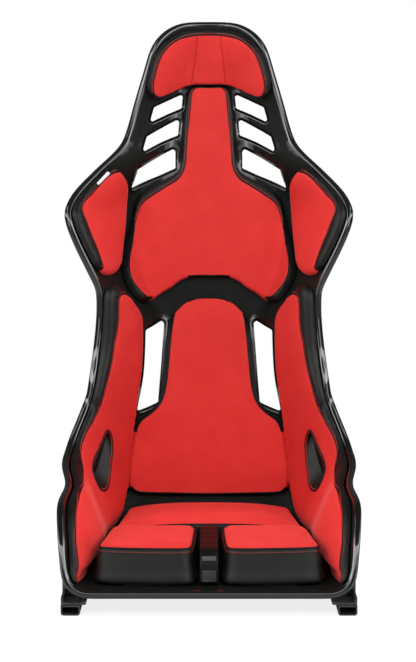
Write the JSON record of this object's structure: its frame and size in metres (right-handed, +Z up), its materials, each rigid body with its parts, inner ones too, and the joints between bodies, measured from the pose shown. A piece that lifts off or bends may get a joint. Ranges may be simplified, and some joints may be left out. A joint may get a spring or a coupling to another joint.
{
  "type": "racing bucket seat",
  "caption": "Fixed-back bucket seat with padded composite shell, belt openings and bolted side mounts on base rails.",
  "frame": {"origin": "centre of the bounding box's footprint, on the underside of the base rails", "axes": "+Z up, +Y towards the back of the seat, +X to the right when seen from the front"},
  "size_m": [0.5296, 0.6232, 1.0071],
  "materials": {
    "gloss_shell": "gloss black",
    "suede": "red microsuede with black leather borders",
    "leather": "black fine grain",
    "trim": "matt black",
    "tape": "black hook-and-loop",
    "white_fabric": "plain woven tag",
    "black_steel": "satin black powder coat",
    "zinc_steel": "zinc plated",
    "insert": "machined"
  },
  "bodies": {
    "root": {"shell": "gloss_shell", "head_pad": "suede", "upper_back_pad": "suede", "lumbar_pad": "suede", "shoulder_pad_left": "suede", "shoulder_pad_right": "suede", "side_pad_left": "suede", "side_pad_right": "suede", "seat_cushion": "suede", "thigh_cushion_left": "suede", "thigh_cushion_right": "suede", "thigh_piping_left": "leather", "thigh_piping_right": "leather", "centre_bridge": "leather", "bridge_keeper_bar": "trim", "bridge_ribbed_catch": "trim", "lap_belt_bezel_left": "trim", "lap_belt_bezel_right": "trim", "crotch_belt_bezel": "trim", "hook_patches_back": "tape", "hook_patches_sides": "tape", "hook_patches_seat": "tape", "shoulder_tag": "white_fabric", "mount_inserts": "insert", "side_adapter_left": "black_steel", "side_adapter_right": "black_steel", "base_rail_left": "black_steel", "base_rail_right": "black_steel", "shell_bolts": "zinc_steel", "shell_washers": "zinc_steel", "rail_bolts": "zinc_steel", "rail_washers": "zinc_steel", "rail_nuts": "zinc_steel"}
  },
  "joints": []
}
